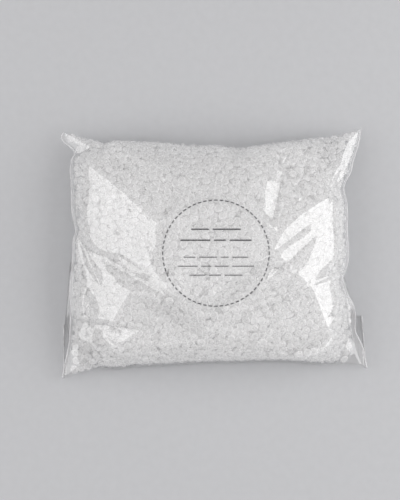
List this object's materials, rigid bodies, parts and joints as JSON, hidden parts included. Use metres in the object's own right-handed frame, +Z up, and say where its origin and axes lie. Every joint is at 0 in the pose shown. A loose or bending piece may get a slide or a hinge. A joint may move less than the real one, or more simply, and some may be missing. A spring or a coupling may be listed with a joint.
{
  "type": "bag of plastic pellets",
  "caption": "Clear film pouch packed with loose milky plastic pellets, welded at the sides, its mouth turned under and held by a flap; lies flat on its back.",
  "frame": {"origin": "on the surface that the bag lies on, under the middle of its outline", "axes": "+X across the bag from weld to weld, +Y from the turned mouth towards the closed fold, +Z up out of the front panel"},
  "size_m": [0.16, 0.128, 0.0422],
  "materials": {
    "clear_film": "clear glossy polypropylene film, lightly creased",
    "milky_pellets": "translucent milky polyethylene, smooth as moulded"
  },
  "bodies": {
    "root": {"film_bag": "clear_film", "pellet_fill": "milky_pellets"}
  },
  "joints": []
}
